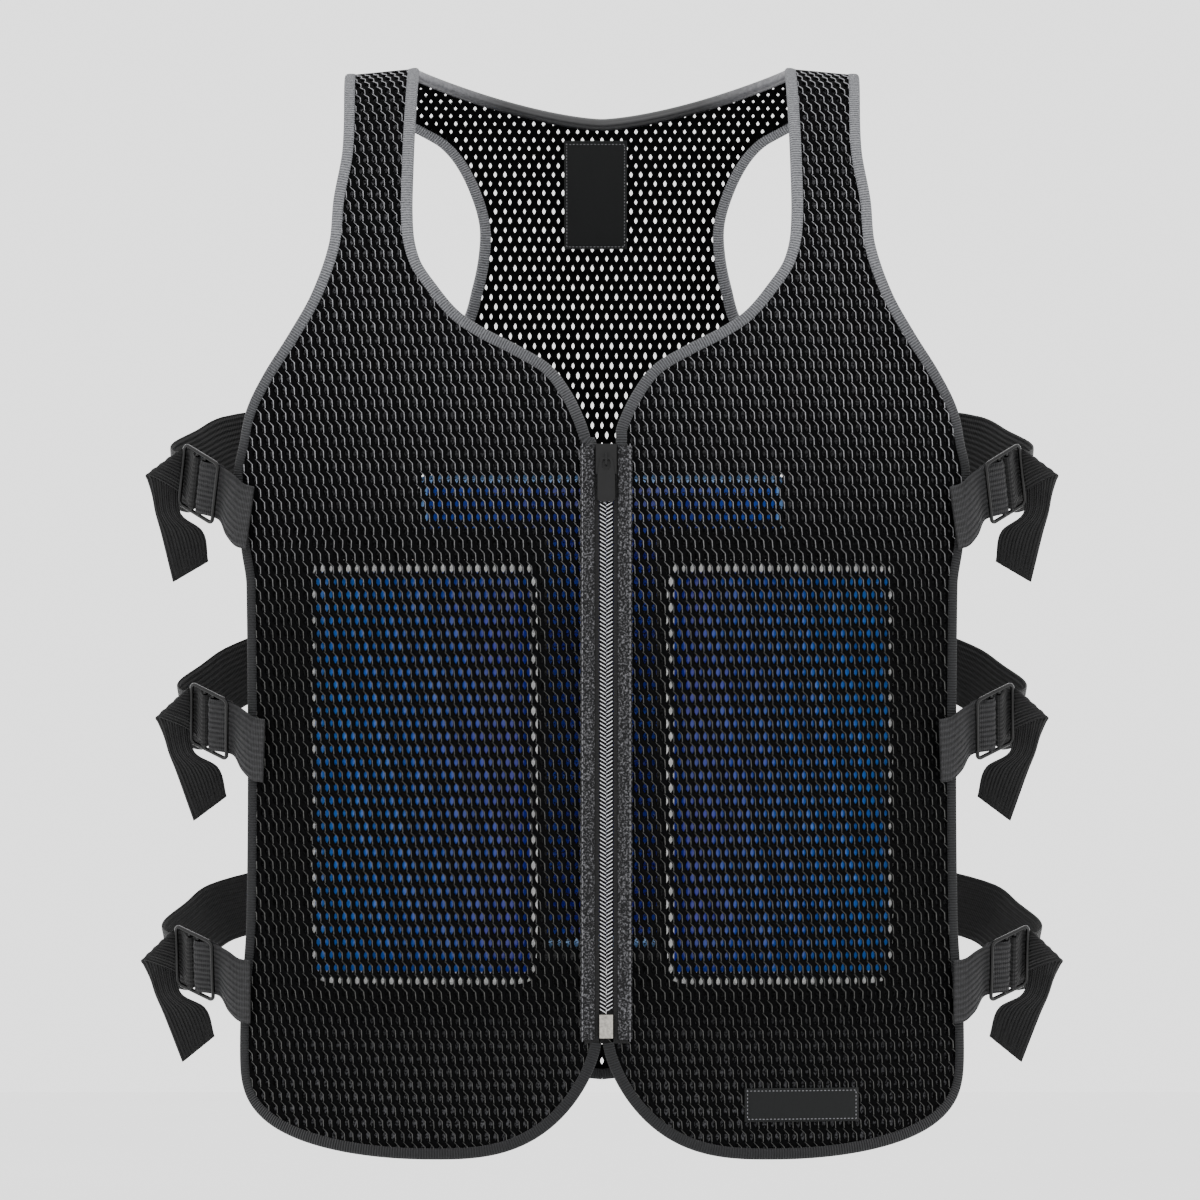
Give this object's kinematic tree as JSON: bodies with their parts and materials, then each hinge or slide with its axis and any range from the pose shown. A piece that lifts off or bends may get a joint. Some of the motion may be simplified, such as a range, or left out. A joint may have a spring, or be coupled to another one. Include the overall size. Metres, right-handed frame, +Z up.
{
  "type": "cooling vest",
  "caption": "Zip-front work vest of open black mesh with grey edge binding, side straps on slide buckles and blue cool packs behind the mesh.",
  "frame": {"origin": "top of the shoulders, midway between the two straps, where a body or hanger carries the vest", "axes": "+Z up along the body, front of the vest towards -Y, wearer's left at +X"},
  "size_m": [0.5578, 0.2388, 0.6597],
  "materials": {
    "mesh_fabric": "open warp knit mesh, black with light grey strands",
    "lining_net": "open warp knit net, black",
    "binding_knit": "ribbed knit tape, mid to charcoal grey",
    "satin_binding": "folded satin tape, black",
    "melange_strip": "speckled charcoal knit",
    "elastic_webbing": "ribbed elastic, black",
    "buckle_wire": "glossy black coating",
    "zip_metal": "bright",
    "zip_slider_black": "satin black coating",
    "zip_tape": "woven tape, black",
    "cool_pack_film": "clear film over blue filling",
    "label_fabric": "woven, bare"
  },
  "bodies": {
    "vest": {"front_mesh_right": "mesh_fabric", "front_lining_right": "lining_net", "cool_pack_front_right": "cool_pack_film", "neck_binding_right": "binding_knit", "edge_binding_right": "binding_knit", "zip_tape_right": "zip_tape", "zip_teeth_right": "zip_metal", "zip_binding_right": "melange_strip", "front_elastic_upper_right": "elastic_webbing", "side_elastic_upper_right": "elastic_webbing", "slide_buckle_upper_right": "buckle_wire", "front_elastic_middle_right": "elastic_webbing", "side_elastic_middle_right": "elastic_webbing", "slide_buckle_middle_right": "buckle_wire", "front_elastic_lower_right": "elastic_webbing", "side_elastic_lower_right": "elastic_webbing", "slide_buckle_lower_right": "buckle_wire", "front_mesh_left": "mesh_fabric", "front_lining_left": "lining_net", "cool_pack_front_left": "cool_pack_film", "neck_binding_left": "binding_knit", "edge_binding_left": "binding_knit", "zip_tape_left": "zip_tape", "zip_teeth_left": "zip_metal", "zip_binding_left": "melange_strip", "front_elastic_upper_left": "elastic_webbing", "side_elastic_upper_left": "elastic_webbing", "slide_buckle_upper_left": "buckle_wire", "front_elastic_middle_left": "elastic_webbing", "side_elastic_middle_left": "elastic_webbing", "slide_buckle_middle_left": "buckle_wire", "front_elastic_lower_left": "elastic_webbing", "side_elastic_lower_left": "elastic_webbing", "slide_buckle_lower_left": "buckle_wire", "hem_label": "label_fabric", "back_mesh": "mesh_fabric", "back_neck_binding": "satin_binding", "back_pocket": "lining_net", "cool_pack_back": "cool_pack_film", "neck_label": "label_fabric", "zip_slider": "zip_slider_black", "zip_box": "zip_metal"},
    "pull": {"zip_pull": "zip_slider_black"}
  },
  "joints": [
    {"name": "pull_swing", "type": "hinge", "parent": "vest", "child": "pull", "pos_m": [0.0025, -0.11833, -0.23849], "axis": [-1, 0, 0], "range_deg": [0, 150]}
  ]
}
